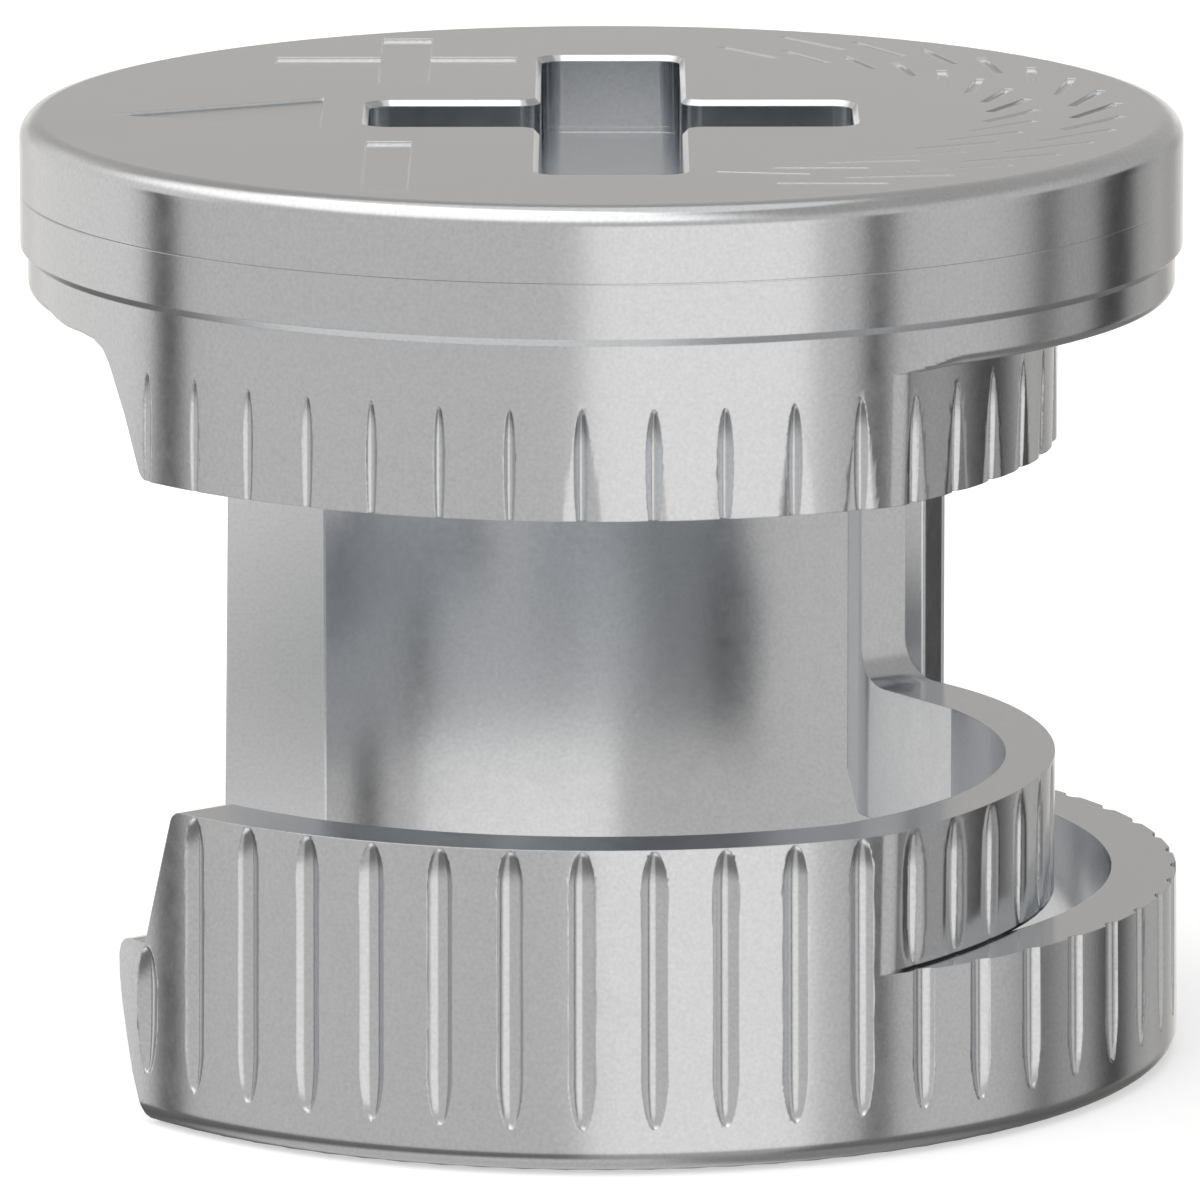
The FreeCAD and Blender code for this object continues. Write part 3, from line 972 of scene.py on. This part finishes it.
@dataclass
class Skin:
    """The casting's surface as triangles, each with the wall that it lies on."""

    points: np.ndarray
    triangles: np.ndarray
    walls: tuple[RoundWall, ...]
    kinds: np.ndarray = field(default_factory=lambda: np.zeros(0, dtype=int))
    least: float = 1e-12

    def flat_normals(self) -> tuple[np.ndarray, np.ndarray]:
        """How the triangles lie.

        Returns:
            Normal and area of each triangle.
        """
        a, b, c = (self.points[self.triangles[:, k]] for k in range(3))
        cross = np.cross(b - a, c - a)
        length = np.linalg.norm(cross, axis=1)
        return cross / np.maximum(length, self.least)[:, None], length / 2

    def sides(self) -> tuple[np.ndarray, np.ndarray, np.ndarray]:
        """Sides of the triangles, and the edges that neighbours share.

        Returns:
            The three sides of each triangle as pairs of points, the edges as such
            pairs without repeats, and each side's edge number.
        """
        sides = self.triangles[:, [[0, 1], [1, 2], [2, 0]]]
        pairs = np.sort(sides.reshape(-1, 2), axis=1)
        edges, index = np.unique(pairs, axis=0, return_inverse=True)
        return sides, edges, index.reshape(-1)

    def divide(self, cut: np.ndarray, places: np.ndarray, index: np.ndarray) -> None:
        """Put a point on each cut edge and divide the triangles that meet there.

        Args:
            cut: True for each edge that gets a point.
            places: the new points, in the order of the cut edges.
            index: edge number of each side of each triangle.
        """
        names = np.full(len(cut), -1)
        names[cut] = len(self.points) + np.arange(np.count_nonzero(cut))
        self.points = np.vstack([self.points, places])
        self.triangles, owners = halved(self.triangles, names[index].reshape(-1, 3))
        self.kinds = self.kinds[owners]

    def sort(self) -> None:
        """Find the wall of each triangle; -1 stands for none."""
        normals, _ = self.flat_normals()
        corners = self.points[self.triangles]
        self.kinds = np.full(len(self.triangles), -1)
        for number, wall in enumerate(self.walls):
            free = self.kinds < 0
            self.kinds[free & wall.holds(corners, normals)] = number

    def refine(self, rounds: int = 16) -> None:
        """Halve the long edges of the walls until none is left.

        Args:
            rounds: how often the edges are halved at most.
        """
        for _ in range(rounds):
            sides, edges, index = self.sides()
            long = np.zeros((len(sides), 3), dtype=bool)
            for number, wall in enumerate(self.walls):
                mine = self.kinds == number
                ends = self.points[sides[mine]].reshape(-1, 2, 3)
                long[mine] = wall.too_long(ends[:, 0], ends[:, 1]).reshape(-1, 3)
            cut = np.bincount(index, long.reshape(-1), len(edges)) > 0
            if not cut.any():
                break
            self.divide(cut, self.points[edges[cut]].mean(axis=1), index)

    def crease(self) -> None:
        """Run the triangles' sides along the borders of the grooves."""
        for number, wall in enumerate(self.walls):
            for row in wall.rows:
                self._split_at(number, row)

    def _split_at(self, number: int, row: GrooveRow, near: float = 0.008,
                  least_full: float = 0.02) -> None:
        """Divide one wall's triangles where they cross the border of a row.

        A point that is nearer to the border than the limit is first moved onto it,
        along the wall. A side whose ends then lie on either side of the border is
        cut where the distance to the border, taken as even along it, is zero.

        Args:
            number: number of the wall.
            row: the row of grooves.
            near: the limit in millimetres.
            least_full: share of its width from which a groove draws points to it.
        """
        wall = self.walls[number]
        mine = self.kinds == number
        own = np.unique(self.triangles[mine])
        azimuth, distance = wall.polar(self.points[own])
        height = self.points[own, 2]
        away = row.outside(azimuth, height)
        close = (np.abs(away) < near) & (row.fullness(height) > least_full)
        shift = np.where(close, away * np.sign(row.across(azimuth)), 0.0)
        turn = np.radians(azimuth) - shift / row.radius
        flat = np.column_stack([np.sin(turn), -np.cos(turn)]) * distance[:, None]
        self.points[own, :2] = wall.axis(height) + flat
        value = np.zeros(len(self.points))
        value[own] = np.where(close, 0.0, away)
        _, edges, index = self.sides()
        used = np.bincount(index, np.repeat(mine, 3), len(edges)) > 0
        first, second = value[edges].T
        cut = used & (first * second < 0)
        share = (first / np.where(cut, first - second, 1.0))[cut, None]
        start, end = self.points[edges[cut, 0]], self.points[edges[cut, 1]]
        self.divide(cut, start + (end - start) * share, index)

    def settle(self) -> None:
        """Move every point of a wall onto the wall's true surface.

        A flat triangle that shares such a point tilts a little with it.
        """
        for number, wall in enumerate(self.walls):
            mine = np.unique(self.triangles[self.kinds == number])
            self.points[mine] = wall.placed(self.points[mine])

    def corner_normals(self, soft_angle: float, inward: float = 0.04,
                       level_from: float = 0.99999) -> np.ndarray:
        """One normal for each corner of each triangle.

        On a wall it is the wall's own, taken a little inside the triangle so that
        creases stay sharp. A level triangle keeps its own. Elsewhere it is the
        area-weighted mean of the triangles round the corner that turn less than
        the soft angle from this one.

        Args:
            soft_angle: the angle in degrees.
            inward: how far inside a wall's triangle its normals are taken, as a
                share of the way to its middle.
            level_from: upward part of the normal from which a triangle is level.

        Returns:
            The normals, three for each triangle in turn.
        """
        flat, area = self.flat_normals()
        corners = self.triangles.reshape(-1)
        owner = np.repeat(np.arange(len(self.triangles)), 3)
        found = self._soft(corners, owner, flat, area, soft_angle)
        level = np.abs(flat[:, 2])[owner] > level_from
        found[level] = flat[owner[level]]
        places = self.points[self.triangles]
        inner = places + inward * (places.mean(axis=1, keepdims=True) - places)
        for number, wall in enumerate(self.walls):
            mine = self.kinds == number
            true = wall.normals(inner[mine].reshape(-1, 3))
            found[np.repeat(mine, 3)] = true
        return found

    def _soft(self, corners: np.ndarray, owner: np.ndarray, flat: np.ndarray,
              area: np.ndarray, soft_angle: float) -> np.ndarray:
        """Mean normals of the triangles that meet softly at each corner.

        Every pair of triangles that share a point is listed once each way, and the
        normals of the pairs within the soft angle are summed.

        Args:
            corners: point number of each corner.
            owner: triangle of each corner.
            flat: normal of each triangle.
            area: area of each triangle.
            soft_angle: the angle in degrees.

        Returns:
            One normal for each corner.
        """
        order = np.argsort(corners, kind="stable")
        along = corners[order]
        starts = np.flatnonzero(np.r_[True, along[1:] != along[:-1]])
        counts = np.diff(np.r_[starts, len(order)])
        group = np.repeat(np.arange(len(starts)), counts)
        repeats = counts[group]
        first = np.repeat(np.arange(len(order)), repeats)
        offset = np.arange(len(first)) - np.repeat(np.cumsum(repeats) - repeats, repeats)
        a, b = order[first], order[starts[group[first]] + offset]
        turn = np.sum(flat[owner[a]] * flat[owner[b]], axis=1)
        near = turn > math.cos(math.radians(soft_angle))
        share = flat[owner[b]] * (area[owner[b]] * near)[:, None]
        total = np.column_stack([
            np.bincount(a, share[:, axis], len(corners)) for axis in range(3)])
        length = np.linalg.norm(total, axis=1, keepdims=True)
        return np.where(length > self.least, total / np.maximum(length, self.least),
                        flat[owner])


@dataclass
class Marks:
    """Signs sunk in the top of the head, in millimetres."""

    top: float = 12.25
    depth: float = 0.038
    slope: float = 0.01
    tick_count: int = 16
    tick_start: float = 22.0
    tick_end: float = 158.0
    tick_rings: tuple[tuple[float, float], ...] = ((5.0, 5.62), (6.08, 6.72))
    tick_slant: float = 5.5
    tick_width: float = 0.13

    def outlines(self) -> list[np.ndarray]:
        """Plan outlines of the arrow, the plus, the minus and the ticks.

        Returns:
            One array of corners for each sign, counter-clockwise seen from above.
        """
        arrow = np.array([(-6.38, -0.17), (-3.6, -1.53), (-3.6, 1.17)])
        minus = np.array([(-2.99, -6.2), (-2.41, -6.2), (-2.41, -2.37), (-2.99, -2.37)])
        plus = np.array([
            (-2.92, 2.35), (-2.26, 2.35), (-2.26, 3.92), (-1.13, 3.92), (-1.13, 4.55),
            (-2.26, 4.55), (-2.26, 6.15), (-2.92, 6.15), (-2.92, 4.55), (-4.3, 4.55),
            (-4.3, 3.92), (-2.92, 3.92),
        ])
        return [arrow, minus, plus, *self._ticks()]

    def _ticks(self) -> list[np.ndarray]:
        """Plain slanted ticks in two rings, set half a step apart.

        Returns:
            The four corners of each tick.
        """
        step = (self.tick_end - self.tick_start) / (self.tick_count - 1)
        found = []
        for number, (inner, outer) in enumerate(self.tick_rings):
            count = self.tick_count - number
            turns = np.radians(self.tick_start + step * (np.arange(count) + number / 2))
            slant = math.radians(self.tick_slant)
            for turn in turns:
                start = inner * np.array([math.sin(turn - slant), -math.cos(turn - slant)])
                end = outer * np.array([math.sin(turn + slant), -math.cos(turn + slant)])
                side = (end - start) / np.linalg.norm(end - start)
                side = np.array([-side[1], side[0]]) * self.tick_width / 2
                found.append(np.array([start - side, end - side, end + side, start + side]))
        return found

    def cutter(self) -> bpy.types.Object:
        """Closed wedges that cut the signs.

        Each wedge is its outline carried from a little above the top down to the
        floor of the sign, where every corner has moved inwards by the slope.

        Returns:
            One object that holds all wedges.
        """
        points: list[np.ndarray] = []
        faces: list[list[int]] = []
        start = 0
        for outline in self.outlines():
            count = len(outline)
            floor = self._inset(outline, self.slope)
            mouth = self._inset(outline, -self.slope)
            points.append(np.column_stack([floor, np.full(count, self.top - self.depth)]))
            points.append(np.column_stack([mouth, np.full(count, self.top + self.depth)]))
            faces.append(list(range(start + count - 1, start - 1, -1)))
            faces.append(list(range(start + count, start + 2 * count)))
            for k in range(count):
                after = (k + 1) % count
                faces.append([start + k, start + after, start + count + after,
                              start + count + k])
            start += 2 * count
        mesh = bpy.data.meshes.new("marks")
        mesh.from_pydata((np.vstack(points) * MM).tolist(), [], faces)
        made = bpy.data.objects.new("marks", mesh)
        bpy.context.scene.collection.objects.link(made)
        return made

    @staticmethod
    def _inset(outline: np.ndarray, depth: float) -> np.ndarray:
        """Move each side of an outline inwards by a depth and return the corners.

        A corner moves along the sum of its two sides' inward normals, divided by
        one plus their dot product.

        Args:
            outline: the corners, counter-clockwise.
            depth: the depth, negative to move outwards.

        Returns:
            The moved corners.
        """
        side = np.roll(outline, -1, axis=0) - outline
        side /= np.linalg.norm(side, axis=1, keepdims=True)
        inward = np.column_stack([-side[:, 1], side[:, 0]])
        before = np.roll(inward, 1, axis=0)
        share = 1.0 + np.sum(inward * before, axis=1, keepdims=True)
        return outline + depth * (inward + before) / share


@dataclass
class CamHousing:
    """The casting, in millimetres: the solid's surface with soft grooves and signs.

    The cam wall's outside is three arcs: entry, front and rear. Each joint is the
    point where the front arc touches another one. Grooves of the housing's own
    wall are numbered from the first one's azimuth on, one pitch apart.
    """

    node: str = "cam_housing"
    finish: CastZinc = field(default_factory=CastZinc)
    # A rougher copy of the zinc; its lighter tint is painted light on the flat beside the bore.
    matt_painted_light_zinc: CastZinc = CastZinc(
        name="matt_painted_light_cast_zinc", tint=(0.915, 0.94, 0.975), roughness=0.36)
    # A darker copy of the zinc: painted shade on the block's front.
    painted_shade_zinc: CastZinc = CastZinc(
        name="painted_shade_cast_zinc", tint=(0.43, 0.446, 0.468), roughness=0.25)
    marks: Marks = field(default_factory=Marks)
    ring_top: float = 2.35
    ceiling: float = 9.97
    cam_front: tuple[float, float] = (-1.114, -1.196)
    front_radius: float = 6.965
    entry_radius: float = 10.0
    entry_joint: tuple[float, float] = (5.172, -4.194)
    rear_radius: float = 5.6
    rear_joint: tuple[float, float] = (5.43, 1.2)
    cam_inner: tuple[float, float] = (-0.459, -1.436)
    inner_radius: float = 5.665
    bore_radius: float = 6.64
    turn_radius: float = 0.8
    turn_end: float = 52.0
    slot_bottom: float = 4.14
    slot_top: float = 8.3
    wall_radius: float = 7.5
    groove_radius: float = 7.48
    pitch: float = 6.923
    first: float = 5.0
    flat_at: float = 5.5
    flat_slack: float = 0.02
    block_front: float = 3.35
    block_left: float = 2.9
    block_slack: float = 0.15
    facing_front: float = -0.99
    weld: float = 1e-7
    soft_angle: float = 24.0

    def build(self, frame: dict) -> bpy.types.Object:
        """Make the dressed casting in place of its plain node.


        Returns:
            The dressed object.
        """
        body = self._signed(frame["nodes"][self.node])
        points, triangles = self._triangles(body.data)
        skin = Skin(points / MM, triangles, self.walls())
        skin.sort()
        skin.refine()
        skin.crease()
        skin.settle()
        mesh = bpy.data.meshes.new("casting")
        mesh.from_pydata((skin.points * MM).tolist(), [], skin.triangles.tolist())
        mesh.polygons.foreach_set("use_smooth", np.ones(len(skin.triangles), dtype=bool))
        mesh.normals_split_custom_set(skin.corner_normals(self.soft_angle).tolist())
        mesh.materials.append(replace(self.finish, painted_foot_shades=self.painted_foot_shades()).material())
        mesh.materials.append(self.matt_painted_light_zinc.material())
        mesh.materials.append(self.painted_shade_zinc.material())
        mesh.polygons.foreach_set("material_index", self._finishes(skin).astype(np.int32))
        body.data = mesh
        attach(body, "root")
        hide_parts(self.node)
        for number, wall in enumerate(skin.walls):
            LOG.info("%s %d: %d", type(wall).__name__, number, (skin.kinds == number).sum())
        LOG.info("%s: %d triangles", body.name, len(skin.triangles))
        return body

    def _signed(self, source: bpy.types.Object) -> bpy.types.Object:
        """A copy of the node with its shared points made one and the signs cut.

        Args:
            source: the plain node.

        Returns:
            The copy, as an object of its own.
        """
        points, triangles = self._triangles(source.data)
        _, first, index = np.unique(np.round(points / self.weld).astype(np.int64), axis=0,
                                    return_index=True, return_inverse=True)
        triangles = index.reshape(-1)[triangles]
        a, b, c = triangles.T
        triangles = triangles[(a != b) & (b != c) & (c != a)]
        mesh = bpy.data.meshes.new("plain_casting")
        mesh.from_pydata(points[first].tolist(), [], triangles.tolist())
        body = bpy.data.objects.new("casting", mesh)
        bpy.context.scene.collection.objects.link(body)
        cutter = self.marks.cutter()
        cut = body.modifiers.new("signs", "BOOLEAN")
        cut.operation = "DIFFERENCE"
        cut.solver = "EXACT"
        cut.object = cutter
        ready = body.evaluated_get(bpy.context.evaluated_depsgraph_get())
        body.data = bpy.data.meshes.new_from_object(ready)
        body.modifiers.clear()
        bpy.data.objects.remove(cutter)
        return body

    def _finishes(self, skin: Skin) -> np.ndarray:
        """Number of each triangle's finish.

        The flat beside the bore is matt with a lighter tint, painted light (1), and the block's
        front a darker copy, painted shade (2), both set to the brightness in the photograph;
        the rest is satin (0).

        Args:
            skin: the finished surface.

        Returns:
            The numbers, in the order of the triangles.
        """
        normals, _ = skin.flat_normals()
        right, back, height = skin.points[skin.triangles].mean(axis=1).T
        front = (normals[:, 1] < self.facing_front) & (height < self.ceiling)
        flat = front & (np.abs(back - self.flat_at) < self.flat_slack)
        block = front & (np.abs(back - self.block_front) < self.block_slack)
        return flat * 1 + (block & (right > self.block_left)) * 2

    @staticmethod
    def _triangles(mesh: bpy.types.Mesh) -> tuple[np.ndarray, np.ndarray]:
        """Points and triangles of a mesh as arrays.

        Args:
            mesh: the mesh.

        Returns:
            The points, and the three corner numbers of each triangle.
        """
        points = np.empty(len(mesh.vertices) * 3)
        mesh.vertices.foreach_get("co", points)
        mesh.calc_loop_triangles()
        corners = np.empty(len(mesh.loop_triangles) * 3, dtype=np.int64)
        mesh.loop_triangles.foreach_get("vertices", corners)
        return points.reshape(-1, 3), corners.reshape(-1, 3)

    def painted_foot_shades(self) -> tuple[PaintedShadeStripe, ...]:
        """Painted shade where the cam wall stands on the ring.

        Returns:
            One stretch at the foot of the entry arc and one at the front arc's.
        """
        entry = tuple(self._tangent(self.entry_joint, self.entry_radius))
        return (
            PaintedShadeStripe(entry, self.entry_radius, start=48.0, end=67.0),
            PaintedShadeStripe(self.cam_front, self.front_radius, start=62.0, end=80.0),
        )

    def _tangent(self, joint: tuple[float, float], radius: float) -> np.ndarray:
        """Centre of an arc that touches the front arc at a joint.

        It lies on the line through the joint and the front arc's centre, at its
        own radius from the joint.

        Args:
            joint: the point where the arcs touch.
            radius: radius of the arc.

        Returns:
            Its centre.
        """
        start = np.array(joint)
        return start + (np.array(self.cam_front) - start) * radius / self.front_radius

    def walls(self) -> tuple[RoundWall, ...]:
        """The round walls with their grooves; the cam's three arcs touch.

        Returns:
            The walls, in the order in which they claim triangles.
        """
        middle = (0.0, 0.0)
        entry = tuple(self._tangent(self.entry_joint, self.entry_radius))
        rear = tuple(self._tangent(self.rear_joint, self.rear_radius))
        levels = {"low": self.ring_top, "high": self.ceiling}
        turn = {"radius": self.turn_radius, "other": entry,
                "other_radius": self.entry_radius, "end": self.turn_end}
        entry_rows = self._cam_rows(radius=self.entry_radius, first=50.9, pitch=5.2, count=3)
        front_rows = self._cam_rows(radius=self.front_radius, first=67.6, pitch=7.3, count=5)
        return (
            TurnWall(middle, low=self.ring_top, high=self.slot_bottom, start=27.8, **turn),
            TurnWall(middle, low=self.slot_top, high=self.ceiling, start=29.0, **turn),
            RoundWall(entry, self.entry_radius, start=49.4, end=64.6, steep=0.75,
                      rows=entry_rows, **levels),
            RoundWall(self.cam_front, self.front_radius, start=64.4, end=110.4, steep=0.75,
                      rows=front_rows, **levels),
            RoundWall(rear, self.rear_radius, start=110.0, end=142.0, **levels),
            RoundWall(middle, self.bore_radius, side=-1, high=self.ceiling),
            RoundWall(self.cam_inner, self.inner_radius, side=-1, start=45.0, end=119.0,
                      **levels),
            OuterWall(middle, self.wall_radius, rows=self._outer_rows()),
        )

    @staticmethod
    def _cam_rows(**row: float) -> tuple[GrooveRow, ...]:
        """Grooves of the cam wall.

        Args:
            row: radius, first azimuth, pitch and count of the row.

        Returns:
            One row below the neck slot and one above it.
        """
        return (
            GrooveRow(**row, low=2.42, high=4.08, half=0.08, deepest=0.055,
                      end_low=0.8, end_high=0.5,
                      dish_low=0.27, dish_high=0.25, dish_depth=0.038, dish_from=2.3),
            GrooveRow(**row, low=8.05, high=9.66, half=0.085, deepest=0.06,
                      end_low=0.7, end_high=0.6,
                      dish_low=0.32, dish_high=0.1, dish_depth=0.036, dish_from=7.5),
        )

    def _outer_rows(self) -> tuple[GrooveRow, ...]:
        """Grooves of the housing's own wall, from the window round to the back.

        Returns:
            The rows: under the slot, over it slim on the left and dished on the
            right, the wide one beside the window, the foot ring's, and the two at
            the back.
        """
        def tier(first: int, last: int, low: float, high: float,
                 **sizes: float) -> GrooveRow:
            """One row from groove number first to groove number last."""
            return GrooveRow(self.groove_radius, self.first + self.pitch * first,
                             self.pitch, last - first + 1, low, high, **sizes)

        tapered = {"end_low": 0.9, "end_high": 0.6}
        slim = {"half": 0.075, "deepest": 0.055, **tapered}
        upper = {"half": 0.1, "deepest": 0.07, **tapered}
        dish = {"dish_low": 0.26, "dish_high": 0.06, "dish_depth": 0.026, "dish_from": 7.5}
        return (
            tier(-7, 3, 0.57, 4.12, end_high=0.5),
            tier(-8, -2, 8.08, 9.70, **slim),
            tier(-1, 3, 8.08, 9.70, **upper, **dish),
            tier(-8, -8, 0.66, 2.31, half=0.2, **tapered),
            tier(4, 20, 0.55, 3.0),
            tier(21, 30, 0.55, 4.11),
            tier(21, 30, 8.05, 9.70, **upper),
        )


def main() -> None:
    """Load the frame, build the studio and the casting, and note the sizes."""
    logging.basicConfig(level=logging.INFO)
    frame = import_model()
    bpy.context.scene.view_settings.view_transform = "Standard"
    Studio().build()
    CamHousing().build(frame)


if __name__ == "__main__":
    main()
